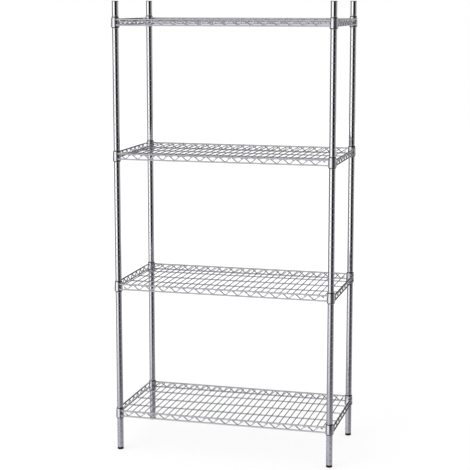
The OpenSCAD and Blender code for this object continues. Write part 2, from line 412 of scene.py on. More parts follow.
FINISHES = {
    Slot.POST: ChromePlate(
        "bright_chrome_tube", (0.78, 0.78, 0.8), (0.72, 0.72, 0.75), (0.03, 0.06), 14.0, 0.000004, 0.04
    ),
    Slot.SHELF: ChromePlate(
        "bright_chrome_wire", (0.74, 0.74, 0.77), (0.66, 0.66, 0.69), (0.08, 0.15), 30.0, 0.00001, 0.08
    ),
    Slot.COLLAR: ChromePlate(
        "bright_chrome_collar", (0.75, 0.75, 0.77), (0.68, 0.68, 0.71), (0.23, 0.31), 40.0, 0.000008, 0.05
    ),
    Slot.SLEEVE: MouldedPlastic(
        "black_sleeve_plastic", (0.005, 0.005, 0.006), (0.009, 0.009, 0.01), (0.45, 0.6), 0.00002, 0.03, 0.2
    ),
    Slot.FOOT: MouldedPlastic(
        "black_foot_plastic", (0.004, 0.004, 0.0045), (0.008, 0.008, 0.009), (0.4, 0.55), 0.00004, 0.08, 0.18
    ),
    Slot.CAP: MouldedPlastic(
        "grey_cap_plastic", (0.1, 0.1, 0.108), (0.125, 0.125, 0.134), (0.35, 0.5), 0.00002, 0.15, 0.5
    ),
    Slot.STEEL: ZincPlate("zinc_plate", (0.66, 0.67, 0.69), (0.6, 0.58, 0.52), (0.28, 0.42)),
}


def round_size(node: str) -> Triple:
    """A round node's lowest and highest height and its radius."""
    low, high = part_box(node)
    return low.z, high.z, (high.x - low.x) / 2


def half_size(node: str) -> Vector:
    """Half a node's size along X, Y and Z."""
    low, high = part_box(node)
    return (high - low) / 2


def up(height: float) -> Vector:
    """A step up, or the point of the Z axis at a height."""
    return Vector((0, 0, height))


def select_only(*pieces: Piece) -> None:
    """Deselects everything, then selects some pieces and makes the first active.

    Args:
        pieces: The pieces to select, or none.
    """
    bpy.ops.object.select_all(action="DESELECT")
    for piece in pieces:
        piece.select_set(True)
    bpy.context.view_layer.objects.active = pieces[0] if pieces else None


def open_mesh(piece: Piece) -> None:
    """Opens a piece, and no other, in edit mode."""
    select_only(piece)
    bpy.ops.object.mode_set(mode="EDIT")


def start_ring(centre: Vector, along: Vector, radius: float, sides: int) -> Piece:
    """Adds a ring of edges square to a direction, open in edit mode with all of it selected.

    Args:
        centre: The ring's middle.
        along: The direction that the ring will be drawn out in.
        radius: The ring's radius.
        sides: How many edges it has.

    Returns:
        The new piece.
    """
    select_only()
    bpy.ops.mesh.primitive_circle_add(
        vertices=sides,
        radius=radius,
        location=centre,
        rotation=along.to_track_quat("Z", "Y").to_euler(),
        enter_editmode=True,
    )
    bpy.ops.mesh.select_all(action="SELECT")
    return bpy.context.object


def start_point(point: Vector) -> Piece:
    """Adds a single point, from which a profile is drawn out, open in edit mode and selected.

    Args:
        point: Where the profile begins.

    Returns:
        The new piece, whose object sits at the origin.
    """
    select_only()
    bpy.ops.mesh.primitive_plane_add(location=(0, 0, 0), enter_editmode=True)
    bpy.ops.mesh.select_all(action="SELECT")
    bpy.ops.mesh.merge(type="CENTER")
    bpy.ops.transform.translate(value=tuple(point))
    return bpy.context.object


def draw_out(step: Vector, scale: float = 1.0, centre: Vector | None = None) -> None:
    """Extrudes what is selected by a step, and may then scale the new ring.

    Args:
        step: How far the new ring moves.
        scale: The new ring's size against the old one's.
        centre: The new ring's middle, about which it is scaled.
    """
    bpy.ops.mesh.extrude_region_move(TRANSFORM_OT_translate={"value": tuple(step)})
    if scale != 1.0:
        bpy.ops.transform.resize(value=(scale, scale, scale), center_override=tuple(centre))


def close_end(step: Vector) -> None:
    """Closes the selected ring with a fan of triangles, whose middle stands out from it by a step."""
    draw_out(step)
    bpy.ops.mesh.merge(type="CENTER")


def merge_doubles() -> None:
    """Selects all of the piece that is open in edit mode and merges its doubles."""
    bpy.ops.mesh.select_all(action="SELECT")
    bpy.ops.mesh.remove_doubles(threshold=MERGE_DISTANCE)


def finish_mesh(piece: Piece, angle: float = SMOOTH_ANGLE) -> Piece:
    """Merges a piece's doubles, turns its normals outward, and gives its mesh its place and smooth shading.

    Args:
        piece: The piece that is open in edit mode.
        angle: Edges sharper than this stay sharp.

    Returns:
        The same piece, in object mode.
    """
    merge_doubles()
    bpy.ops.mesh.normals_make_consistent(inside=False)
    bpy.ops.object.mode_set(mode="OBJECT")
    select_only(piece)
    bpy.ops.object.transform_apply(location=True, rotation=True, scale=True)
    bpy.ops.object.shade_smooth_by_angle(angle=angle)
    return piece


def select_ring(piece: Piece, radius: float, height: float) -> None:
    """Selects only one ring of a turned piece.

    Args:
        piece: The piece that is open in edit mode.
        radius: The ring's radius.
        height: The ring's height over the floor.
    """
    bpy.ops.mesh.select_all(action="DESELECT")
    mesh = bmesh.from_edit_mesh(piece.data)
    for vertex in mesh.verts:
        place = piece.matrix_world @ vertex.co
        off_ring = abs(math.hypot(place.x, place.y) - radius)
        vertex.select = max(off_ring, abs(place.z - height)) < MERGE_DISTANCE
    mesh.select_flush(True)
    bmesh.update_edit_mesh(piece.data)


def turned_piece(profile: Profile, sides: int) -> Piece:
    """Turns a piece about Z by drawing a ring from point to point of its profile.

    Args:
        profile: Points as radius and height. The first or last may be on the axis, and a closed profile ends
            where it began.
        sides: How many sides the round has.

    Returns:
        The finished piece on the Z axis.
    """
    on_axis_first = profile[0][0] == 0
    rings = profile[1:] if on_axis_first else profile
    radius, height = rings[0]
    piece = start_ring(up(height), up(1), radius, sides)
    if on_axis_first:
        close_end(up(profile[0][1] - height))
        select_ring(piece, radius, height)
    for next_radius, next_height in rings[1:]:
        step = up(next_height - height)
        if next_radius == 0:
            close_end(step)
            break
        draw_out(step, next_radius / radius, up(next_height))
        radius, height = next_radius, next_height
    return finish_mesh(piece)


def rounded_corner(radius: float, height: float, bend: float, steps: int, lower: bool = False) -> Profile:
    """Rounds an outer corner of a turned profile.

    Args:
        radius: The corner's radius before it is rounded.
        height: The corner's height.
        bend: The round's own radius.
        steps: How many steps it takes.
        lower: Whether it is a lower corner, and not an upper one.

    Returns:
        The round's points as radius and height, from below upwards.
    """
    middle = height + bend if lower else height - bend
    first = -90 if lower else 0
    angles = [math.radians(first + 90 * index / steps) for index in range(steps + 1)]
    return [(radius - bend + bend * math.cos(angle), middle + bend * math.sin(angle)) for angle in angles]


def straight_wire(middle: Vector, reach: Vector, radius: float, sides: int) -> Piece:
    """Draws a straight round wire whose cut ends are slightly broken at the edge.

    Args:
        middle: The wire's middle.
        reach: The way from there to its last end.
        radius: The wire's radius.
        sides: How many sides the round has.

    Returns:
        The finished wire.
    """
    start, end = middle - reach, middle + reach
    broken = BROKEN_EDGE_SHARE * radius
    edge = reach.normalized() * broken
    piece = start_ring(start, reach, radius - broken, sides)
    bpy.ops.mesh.edge_face_add()
    draw_out(edge, radius / (radius - broken), start + edge)
    draw_out(end - start - 2 * edge)
    draw_out(edge, (radius - broken) / radius, end)
    return finish_mesh(piece)


def repeat_along(piece: Piece, step: Vector, count: int) -> Piece:
    """Repeats a piece in a straight row, in its own mesh.

    Args:
        piece: The piece to repeat.
        step: The distance from one to the next.
        count: How many there are in all.

    Returns:
        The same piece.
    """
    select_only(piece)
    array = piece.modifiers.new("row", "ARRAY")
    array.use_relative_offset = False
    array.use_constant_offset = True
    array.constant_offset_displace = step
    array.count = count
    bpy.ops.object.modifier_apply(modifier=array.name)
    return piece


def join_pieces(pieces: list[Piece]) -> Piece:
    """Joins pieces into one.

    Args:
        pieces: The pieces, of which the first takes in the others.

    Returns:
        The joined piece.
    """
    select_only(*pieces)
    bpy.ops.object.join()
    return pieces[0]


def copy_piece(piece: Piece, name: str, move: Matrix) -> Piece:
    """Copies a piece with its own mesh, and moves that mesh.

    Args:
        piece: The piece to copy.
        name: The copy's name.
        move: Where the copy goes.

    Returns:
        The copy, whose object sits at the origin.
    """
    copy = piece.copy()
    copy.data = piece.data.copy()
    copy.name = copy.data.name = name
    copy.data.transform(move)
    bpy.context.scene.collection.objects.link(copy)
    return copy


def spread_copies(model: Piece, moves: list[Matrix]) -> Piece:
    """Copies a piece to each of its places, removes the piece itself and joins the copies.

    Args:
        model: The piece to copy.
        moves: Where the copies go.

    Returns:
        The joined copies.
    """
    copies = [copy_piece(model, "part", move) for move in moves]
    bpy.data.objects.remove(model)
    return join_pieces(copies)


@dataclass
class Assembly:
    """A sub-assembly of the unit, which dresses its own pieces."""

    materials: dict[Slot, bpy.types.Material]

    def paint(self, piece: Piece, slot: Slot) -> None:
        """Gives a piece the one material of its slot."""
        piece.data.materials.clear()
        piece.data.materials.append(self.materials[slot])

    def dress(self, piece: Piece, body: str, slot: Slot, *nodes: str) -> None:
        """Gives a finished piece its material, its body and the nodes that it stands for, and reports it.

        Args:
            piece: The finished piece.
            body: The body that it rides on.
            slot: Its material slot.
            nodes: The nodes that it replaces.
        """
        self.paint(piece, slot)
        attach(piece, body)
        if nodes:
            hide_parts(*nodes)
        log.info("%s: %d faces, on %s, %s", piece.name, len(piece.data.polygons), body, slot.value)


@dataclass
class PostAssembly(Assembly):
    """A grooved tube post with its cap, sleeves, threaded insert, stud and levelling pad.

    The thread is wound from thread_lead turns below the stud, so that no vertex lies where its ends are cut.
    """

    sides: int = 48
    groove_pitch: float = 0.0254
    groove_depth: float = 0.0005
    groove_width: float = 0.0024
    groove_floor: float = 0.001
    groove_support: float = 0.0006
    shoulder_share: float = 0.1
    shoulder_depth: float = 0.00004
    first_groove: float = 0.0194
    tube_wall: float = 0.0015
    tube_bevel: float = 0.0004
    plug_gap: float = 0.00005
    plug_wall: float = 0.002
    cap_edge: float = 0.001
    cap_flat_share: float = 0.4
    pad_edge: float = 0.0016
    pad_top_edge: float = 0.0006
    pad_flat_share: float = 0.45
    pad_floor: float = 0.0028
    edge_steps: int = 5
    top_edge_steps: int = 3
    stud_radius: float = 0.005
    stud_gap: float = 0.00005
    head_height: float = 0.003
    head_bevel: float = 0.0003
    thread_pitch: float = 0.0015
    thread_depth: float = 0.00092
    thread_crest: tuple[float, float] = (0.42, 0.58)
    thread_lead: float = 1.01
    thread_steps: int = 24
    thread_sink: float = 0.0001
    tube_low: float = field(init=False)
    tube_high: float = field(init=False)
    tube_radius: float = field(init=False)

    def __post_init__(self) -> None:
        """Reads the tube's own size from the frame."""
        self.tube_low, self.tube_high, self.tube_radius = round_size("post_front_left")

    def groove_rings(self) -> Profile:
        """Profile of one groove pitch, with the groove in its middle and softly rounded shoulders.

        Returns:
            Points as radius and height over the pitch's lower end.
        """
        middle = self.groove_pitch / 2
        half, flat = self.groove_width / 2, self.groove_floor / 2
        outer, inner = self.tube_radius, self.tube_radius - self.groove_depth
        shoulder = middle - half * (1 + self.shoulder_share)
        lower = [
            (outer, 0.0),
            (outer, shoulder - 2 * self.groove_support),
            (outer, shoulder - self.groove_support),
            (outer, shoulder),
            (outer - self.shoulder_depth, middle - half * (1 - self.shoulder_share)),
            (outer - self.groove_depth / 2, middle - (half + flat) / 2),
            (inner + self.shoulder_depth, middle - flat),
            (inner, middle - flat / 2),
        ]
        return lower + [(radius, 2 * middle - height) for radius, height in reversed(lower)]

    def build_tube(self) -> Piece:
        """Turns one groove pitch, repeats it up the post, turns both lips in and bridges them along the bore.

        Returns:
            The tube on the Z axis.
        """
        count = math.floor((self.tube_high - self.tube_low) / self.groove_pitch) - 1
        tube = turned_piece(self.groove_rings(), self.sides)
        start = self.tube_low + self.first_groove - self.groove_pitch / 2
        tube.data.transform(Matrix.Translation(up(start)))
        repeat_along(tube, up(self.groove_pitch), count)
        self.turn_in_lip(tube, start, self.tube_low)
        self.turn_in_lip(tube, start + count * self.groove_pitch, self.tube_high)
        open_mesh(tube)
        merge_doubles()
        bpy.ops.mesh.select_all(action="DESELECT")
        bpy.ops.mesh.select_non_manifold()
        bpy.ops.mesh.bridge_edge_loops()
        return finish_mesh(tube)

    def turn_in_lip(self, tube: Piece, height: float, end: float) -> None:
        """Draws an open end of the tube out to its full length and turns its lip in to the bore.

        Args:
            tube: The open tube.
            height: The height of its open edge.
            end: The height of the tube's end.
        """
        bevel = math.copysign(self.tube_bevel, end - height)
        lip = self.tube_radius - self.tube_bevel
        open_mesh(tube)
        select_ring(tube, self.tube_radius, height)
        draw_out(up(end - bevel - height))
        draw_out(up(bevel), lip / self.tube_radius, up(end))
        draw_out(up(0), (self.tube_radius - self.tube_wall) / lip, up(end))
        bpy.ops.object.mode_set(mode="OBJECT")

    def build_cap(self) -> Piece:
        """Turns the cap's flange and its hollow plug.

        Returns:
            The cap on the Z axis.
        """
        low, high, flange = round_size("cap_front_left")
        plug = self.tube_radius - self.tube_wall - self.plug_gap
        hollow, top = plug - self.plug_wall, self.tube_high
        profile = [
            (0, top), (hollow, top), (hollow, low), (plug, low), (plug, top), (flange, top),
            *rounded_corner(flange, high, self.cap_edge, self.edge_steps),
            (flange * self.cap_flat_share, high), (0, high),
        ]
        return turned_piece(profile, self.sides)

    def build_pad(self) -> Piece:
        """Turns the pad, with the pocket that holds the stud's head.

        Returns:
            The pad on the Z axis.
        """
        _, high, outer = round_size("foot_pad_front_left")
        head = round_size("foot_stud_front_left")[2] + self.stud_gap
        hole = self.stud_radius + self.stud_gap
        pocket_low = self.pad_floor - self.stud_gap
        pocket_high = self.pad_floor + self.head_height + self.stud_gap
        profile = [
            (0, 0), (outer * self.pad_flat_share, 0),
            *rounded_corner(outer, 0, self.pad_edge, self.edge_steps, lower=True),
            *rounded_corner(outer, high, self.pad_top_edge, self.top_edge_steps),
            (hole, high), (hole, pocket_high), (head, pocket_high), (head, pocket_low), (0, pocket_low),
        ]
        return turned_piece(profile, self.sides)

    def build_thread(self, low: float, high: float) -> Piece:
        """Winds the stud's thread as a helix and cuts its ends flat.

        Args:
            low: The height of the stud's lower end.
            high: The height of its upper end.

        Returns:
            The thread on the Z axis.
        """
        root, start = self.stud_radius - self.thread_depth, low - self.thread_lead * self.thread_pitch
        crest_low, crest_high = self.thread_crest
        tooth = [(root, 0.0), (self.stud_radius, crest_low), (self.stud_radius, crest_high), (root, 1.0)]
        points = [Vector((radius, 0, start + share * self.thread_pitch)) for radius, share in tooth]
        piece = start_point(points[0])
        for here, there in zip(points, points[1:]):
            draw_out(there - here)
        bpy.ops.object.mode_set(mode="OBJECT")
        screw = piece.modifiers.new("thread", "SCREW")
        screw.axis = "Z"
        screw.angle = math.tau
        screw.screw_offset = self.thread_pitch
        screw.iterations = math.ceil((high - low) / self.thread_pitch) + 2
        screw.steps = screw.render_steps = self.thread_steps
        screw.use_merge_vertices = True
        screw.merge_threshold = MERGE_DISTANCE
        select_only(piece)
        bpy.ops.object.modifier_apply(modifier=screw.name)
        open_mesh(piece)
        for height, way in ((low + self.thread_sink, -1), (high, 1)):
            merge_doubles()
            bpy.ops.mesh.bisect(
                plane_co=up(height), plane_no=up(way), use_fill=True, clear_outer=True, clear_inner=False
            )
        return finish_mesh(piece, SHARP_ANGLE)

    def build_stud(self) -> Piece:
        """Turns the stud's head and joins it to the thread.

        Returns:
            The stud on the Z axis.
        """
        low, high, radius = round_size("foot_stud_front_left")
        top, edge = low + self.head_height, radius - self.head_bevel
        side = [(radius, low + self.head_bevel), (radius, top - self.head_bevel)]
        profile = [(0, low), (edge, low), *side, (edge, top), (0, top)]
        return join_pieces([self.build_thread(low, high), turned_piece(profile, self.sides)])

    def build(self) -> None:
        """Models each piece once and sets a copy at every corner."""
        models = {
            "grooved_tube": (self.build_tube(), "posts", Slot.POST, "post"),
            "flanged_cap": (self.build_cap(), "posts", Slot.CAP, "cap"),
            "threaded_stud": (self.build_stud(), "foot_stud_{}", Slot.STEEL, "foot_stud"),
            "levelling_pad": (self.build_pad(), "foot_pad_{}", Slot.FOOT, "foot_pad"),
        }
        for name, (model, body, slot, node) in models.items():
            for corner in Corner:
                copy = copy_piece(model, f"{name}_{corner.label}", Matrix.Translation(corner.axis))
                self.dress(copy, body.format(corner.label), slot, f"{node}_{corner.label}")
            bpy.data.objects.remove(model)

    def build_sleeves(self) -> None:
        """Makes each split sleeve a smooth copy of its solid, with halves, tongues and bead as they are."""
        for shelf in SHELVES:
            for corner in Corner:
                node = f"sleeve_{shelf}_{corner.label}"
                copy = copy_piece(frame["nodes"][node], f"split_{node}", Matrix.Identity(4))
                copy.parent = None
                open_mesh(copy)
                finish_mesh(copy, SHARP_ANGLE)
                self.dress(copy, "posts", Slot.SLEEVE, node)

    def dress_inserts(self) -> None:
        """Gives the threaded inserts their zinc plate."""
        for corner in Corner:
            node = frame["nodes"][f"foot_insert_{corner.label}"]
            self.paint(node, Slot.STEEL)
            log.info("%s: zinc plate", node.name)


@dataclass
class WireShelf(Assembly):
    """A welded wire shelf: rim wires, zigzags, cross wires, stringers, collars and weld beads.

    It is modelled about its own middle. A weld's size is half its extent along X, Y and Z.
    """

    truss_height: float = 0.0215
    snake_rise: float = 0.0175
    snake_bend: float = 0.005
    snake_radius: float = 0.0021
    stringer_radius: float = 0.0025
    cross_radius: float = 0.0017
    weld_sink: float = 0.00015
    rim_entry: float = 0.00025
    cross_pitch_wanted: float = 0.0259
    collar_shoulder: float = 0.0012
    collar_bevel: float = 0.0005
    collar_wall_low: float = 0.00235
    collar_wall_high: float = 0.0017
    bore_drop: float = 0.00085
    sleeve_height: float = 0.044
    rim_weld: Triple = (0.0021, 0.0024, 0.0009)
    stringer_weld: Triple = (0.0024, 0.0024, 0.0008)
    zigzag_weld: Triple = (0.0023, 0.0014, 0.0012)
    collar_weld: Triple = (0.0022, 0.0033, 0.0034)
    collar_weld_inset: float = 0.0005
    rim_sides: int = 20
    stringer_sides: int = 16
    wire_sides: int = 12
    snake_sides: int = 14
    collar_sides: int = 56
    bead_sides: int = 8
    bend_steps: int = 8
    bead_steps: int = 5
    shoulder_steps: int = 4
    half: Vector = field(init=False)
    post: Vector = field(init=False)
    rim_radius: float = field(init=False)
    collar_low: float = field(init=False)
    collar_high: float = field(init=False)

    def __post_init__(self) -> None:
        """Reads the lowest shelf's own size from the frame and works out its collars' radii."""
        low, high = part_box("rim_wires_1")
        self.rim_radius = (high.z - low.z - self.truss_height) / 2
        self.half = half_size("collars_1")
        self.post = Corner.BACK_RIGHT.axis
        self.collar_low = self.half.x - self.post.x
        taper = self.bore_drop * 2 * self.half.z / self.sleeve_height
        self.collar_high = self.collar_low - self.collar_wall_low + self.collar_wall_high - taper

    @property
    def rim(self) -> Vector:
        """How far the rim wires' axes lie from the shelf's middle, along X, Y and Z."""
        return Vector((self.half.x - self.rim_radius, self.half.y - self.rim_radius, self.truss_height / 2))

    @property
    def rim_end(self) -> float:
        """How far from a post's axis a rim wire ends, inside the wall of the collar."""
        end_radius = self.collar_low - self.collar_wall_low + self.rim_entry
        return math.sqrt(end_radius ** 2 - (self.collar_low - 2 * self.rim_radius) ** 2)

    @property
    def cross_gaps(self) -> int:
        """How many gaps the cross wires leave between two posts."""
        return round(2 * self.post.x / self.cross_pitch_wanted)

    @property
    def cross_pitch(self) -> float:
        """Distance from one cross wire to the next."""
        return 2 * self.post.x / self.cross_gaps

    @property
    def cross_z(self) -> float:
        """Height of the cross wires' axes over the shelf's middle."""
        return self.rim.z - self.rim_radius - self.cross_radius + self.weld_sink

    @property
    def stringer_z(self) -> float:
        """Height of the stringers' axes over the shelf's middle."""
        return self.cross_z - self.cross_radius - self.stringer_radius + self.weld_sink

    @property
    def snake_touch(self) -> float:
        """Distance from a zigzag's axis to a rim wire's where they are welded."""
        return self.rim_radius + self.snake_radius - self.weld_sink

    @property
    def snake_drop(self) -> float:
        """How far a zigzag's bends stop short of the rim wires' axes in height."""
        return (self.truss_height - self.snake_rise) / 2

    @property
    def snake_inset(self) -> float:
        """How far the zigzags lie inside the rim wires."""
        return math.sqrt(self.snake_touch ** 2 - self.snake_drop ** 2)

    @property
    def zigzag_sides(self) -> tuple[tuple[float, int, float], ...]:
        """For the long and the short sides: their turn, the bends of a zigzag, and the rim's reach."""
        short_bends = math.floor(2 * (self.post.y - self.cross_pitch) / self.cross_pitch)
        return (0.0, self.cross_gaps - 2, self.rim.y), (math.pi / 2, short_bends, self.rim.x)

    def collar_radius(self, height: float) -> float:
        """Outside radius of a collar at a height from its middle."""
        return self.collar_low + (self.collar_high - self.collar_low) * (height / self.half.z + 1) / 2

    def build_rims(self) -> Piece:
        """Draws the eight rim wires, whose ends are hidden in the collars.

        Returns:
            The rim wires.
        """
        section = (self.rim_radius, self.rim_sides)
        front, reach_x = Vector((0, -self.rim.y, -self.rim.z)), Vector((self.post.x - self.rim_end, 0, 0))
        left, reach_y = Vector((-self.rim.x, 0, -self.rim.z)), Vector((0, self.post.y - self.rim_end, 0))
        along_x = repeat_along(straight_wire(front, reach_x, *section), Vector((0, 2 * self.rim.y, 0)), 2)
        along_y = repeat_along(straight_wire(left, reach_y, *section), Vector((2 * self.rim.x, 0, 0)), 2)
        return repeat_along(join_pieces([along_x, along_y]), up(self.truss_height), 2)

    def build_cross_wires(self) -> Piece:
        """Draws one cross wire and repeats it along the shelf.

        Returns:
            The deck's cross wires.
        """
        first = Vector((self.cross_pitch - self.post.x, 0, self.cross_z))
        reach = Vector((0, half_size("cross_wires_1").y, 0))
        wire = straight_wire(first, reach, self.cross_radius, self.wire_sides)
        return repeat_along(wire, Vector((self.cross_pitch, 0, 0)), self.cross_gaps - 1)

    def build_stringers(self) -> Piece:
        """Draws the three stringers under the cross wires.

        Returns:
            The stringers.
        """
        first = Vector((0, -self.post.y / 2, self.stringer_z))
        reach = Vector((half_size("stringers_1").x, 0, 0))
        stringer = straight_wire(first, reach, self.stringer_radius, self.stringer_sides)
        return repeat_along(stringer, Vector((0, self.post.y / 2, 0)), 3)

    def bend_centres(self, count: int) -> list[Vector]:
        """Middles of a zigzag's bends, along X and in height.

        Args:
            count: How many bends the zigzag has.

        Returns:
            One point for each bend, of which the first is a low one.
        """
        height = self.snake_rise / 2 - self.snake_bend
        return [
            Vector(((index - (count - 1) / 2) * self.cross_pitch, 0, height if index % 2 else -height))
            for index in range(count)
        ]

    def build_zigzag(self, count: int) -> Piece:
        """Draws a zigzag wire along X by extruding its legs and spinning its bends.

        Args:
            count: How many bends it has.

        Returns:
            The zigzag about the origin.
        """
        centres = self.bend_centres(count)
        rise = centres[1].z - centres[0].z
        straight = math.hypot(self.cross_pitch, rise)
        slope = math.atan2(rise, self.cross_pitch) + math.asin(2 * self.snake_bend / straight)
        offset = Vector((self.snake_bend * math.sin(slope), 0, self.snake_bend * math.cos(slope)))
        here = Vector((-count * self.cross_pitch / 2, 0, 0))
        down = Vector((math.cos(slope), 0, -math.sin(slope)))
        piece = start_ring(here, down, self.snake_radius, self.snake_sides)
        bpy.ops.mesh.edge_face_add()
        for centre in centres:
            side = 1 if centre.z > 0 else -1
            draw_out(centre + Vector((-offset.x, 0, side * offset.z)) - here)
            bpy.ops.mesh.spin(
                steps=self.bend_steps,
                angle=-side * 2 * slope,
                center=tuple(centre),
                axis=(0, 1, 0),
                use_auto_merge=False,
            )
            here = centre + Vector((offset.x, 0, side * offset.z))
        draw_out(Vector((count * self.cross_pitch / 2, 0, 0)) - here)
        return finish_mesh(piece)

    def build_zigzags(self) -> Piece:
        """Models a long and a short zigzag, and sets each on its two sides.

        Returns:
            The four zigzags.
        """
        pairs = []
        for turn, count, reach in self.zigzag_sides:
            inward = Matrix.Translation((0, self.snake_inset - reach, 0))
            moves = [Matrix.Rotation(turn + half_turn, 4, "Z") @ inward for half_turn in (0.0, math.pi)]
            pairs.append(spread_copies(self.build_zigzag(count), moves))
        return join_pieces(pairs)

    def build_collars(self) -> Piece:
        """Turns a tapered collar with a rounded shoulder and sets one at each corner.

        Returns:
            The four collars.
        """
        top, bore_low = self.half.z, self.collar_low - self.collar_wall_low
        profile = [
            (bore_low, -top),
            (self.collar_low - self.collar_bevel, -top),
            (self.collar_low, -top + self.collar_bevel),
            *rounded_corner(self.collar_high, top, self.collar_shoulder, self.shoulder_steps),
            (self.collar_high - self.collar_wall_high, top),
            (bore_low, -top),
        ]
        moves = [Matrix.Translation(corner.axis) for corner in Corner]
        return spread_copies(turned_piece(profile, self.collar_sides), moves)

    def deck_welds(self) -> list[Weld]:
        """The welds of the cross wires, on the rim wires and on the stringers.

        Returns:
            For each weld its middle and its half sizes.
        """
        on_rim = (self.rim.y, self.cross_z + self.cross_radius, Vector(self.rim_weld), (-1, 1))
        on_stringer = (
            self.post.y / 2, self.stringer_z + self.stringer_radius, Vector(self.stringer_weld), (-1, 0, 1)
        )
        return [
            (Vector((index * self.cross_pitch - self.post.x, place * y, z)), size)
            for index in range(1, self.cross_gaps)
            for y, z, size, places in (on_rim, on_stringer)
            for place in places
        ]

    def zigzag_welds(self) -> list[Weld]:
        """The welds of the zigzags' bends on the rim wires.

        Returns:
            For each weld its middle and its half sizes.
        """
        share = self.rim_radius / self.snake_touch
        height = self.rim.z - share * self.snake_drop
        along_x = Vector(self.zigzag_weld)
        welds = []
        for turn, count, reach in self.zigzag_sides:
            size = along_x.yxz if turn else along_x
            y = share * self.snake_inset - reach
            for half_turn in (0.0, math.pi):
                spin = Matrix.Rotation(turn + half_turn, 3, "Z")
                for centre in self.bend_centres(count):
                    middle = Vector((centre.x, y, math.copysign(height, centre.z)))
                    welds.append((spin @ middle, size))
        return welds

    def collar_welds(self) -> list[Weld]:
        """The fillet welds where the rim wires enter the collars.

        Returns:
            For each weld its middle and its half sizes.
        """
        along_x = Vector(self.collar_weld)
        setback = self.collar_low - self.rim_radius - self.collar_weld_inset
        welds = []
        for height in (-self.rim.z, self.rim.z):
            reach = math.sqrt(self.collar_radius(height) ** 2 - setback ** 2)
            for corner in Corner:
                x, y = corner.value
                on_x = Vector((x * (self.post.x - reach), y * (self.post.y + setback), height))
                on_y = Vector((x * (self.post.x + setback), y * (self.post.y - reach), height))
                welds += [(on_x, along_x), (on_y, along_x.yxz)]
        return welds

    def build_welds(self) -> Piece:
        """Turns one small bead and squashes a copy of it onto every weld.

        Returns:
            All the weld beads of a shelf.
        """
        angles = [math.pi * index / self.bead_steps for index in range(1, self.bead_steps)]
        rounding = [(math.sin(angle), -math.cos(angle)) for angle in angles]
        bead = turned_piece([(0, -1), *rounding, (0, 1)], self.bead_sides)
        places = self.deck_welds() + self.zigzag_welds() + self.collar_welds()
        moves = [Matrix.Translation(middle) @ Matrix.Diagonal((*size, 1)) for middle, size in places]
        welds = spread_copies(bead, moves)
        open_mesh(welds)
        return finish_mesh(welds, math.pi)

    def build(self) -> None:
        """Models a shelf once about its own middle and sets a copy at each height."""
        models = {
            "rims": (self.build_rims(), Slot.SHELF, ["rim_wires"]),
            "deck_wires": (self.build_cross_wires(), Slot.SHELF, ["cross_wires"]),
            "long_wires": (self.build_stringers(), Slot.SHELF, ["stringers"]),
            "zigzags": (self.build_zigzags(), Slot.SHELF, ["truss_wires"]),
            "corner_collars": (self.build_collars(), Slot.COLLAR, ["collars"]),
            "welds": (self.build_welds(), Slot.SHELF, []),
        }
        for name, (model, slot, nodes) in models.items():
            for shelf in SHELVES:
                low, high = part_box(f"rim_wires_{shelf}")
                copy = copy_piece(model, f"{name}_{shelf}", Matrix.Translation(up((low.z + high.z) / 2)))
                self.dress(copy, f"shelf_{shelf}", slot, *(f"{node}_{shelf}" for node in nodes))
            bpy.data.objects.remove(model)


@dataclass(frozen=True)
class PhotoCamera:
    """The camera at the photograph's angle, for a square picture of 470 pixels."""

    picture: float = 470.0
    focal_pixels: float = 1366.0
    centre_row: float = 206.8
    turn: float = 0.2611
    pitch: float = 0.15
    place: Triple = (1.4295, -5.369, 1.842)
    farthest: float = 60.0

    def build(self) -> None:
        """Adds the camera and makes it the scene's own."""
        data = bpy.data.cameras.new("photo_camera")
        data.lens = self.focal_pixels / self.picture * data.sensor_width
        data.shift_y = (self.centre_row - self.picture / 2) / self.picture
        data.clip_end = self.farthest
        camera = bpy.data.objects.new("photo_camera", data)
        camera.location = self.place
        camera.rotation_euler = (math.pi / 2 - self.pitch, 0, self.turn)
        bpy.context.scene.collection.objects.link(camera)
        bpy.context.scene.camera = camera


@dataclass(frozen=True)
class StudioBand:
    """A band of the studio that goes once around the unit, as the metal mirrors it.

    Angles are in degrees. A bearing is taken from the front of the unit, positive to the right, and a height
    from the horizon. The band begins at one height and is full from the other on, upwards or downwards.
    """

    begins: float
    full: float
    tones: tuple[tuple[float, float], ...]
    tint: Triple = WHITE

    def stops(self, brightest: float) -> list[tuple[float, Triple]]:
        """Turns the tones into the stops of a colour ramp.

        Args:
            brightest: The brightness that the ramp's 1 stands for.

        Returns:
            Each stop's place from 0 to 1 and its colour.
        """
        return [
            ((bearing + 180) / 360, tuple(share * tone / brightest for share in self.tint))
            for bearing, tone in self.tones
        ]


GROUND_TINT = (0.97, 0.96, 1.07)
SIDE_WALLS = (
    (-156, 0.05), (-150, 0.9), (-134, 0.9), (-128, 0.1), (-68, 0.16), (-60, 1.4), (-6, 1.4), (3, 0.02),
    (64, 0.015), (78, 0.2), (108, 0.25), (122, 0.7), (150, 0.7), (157, 0.05),
)


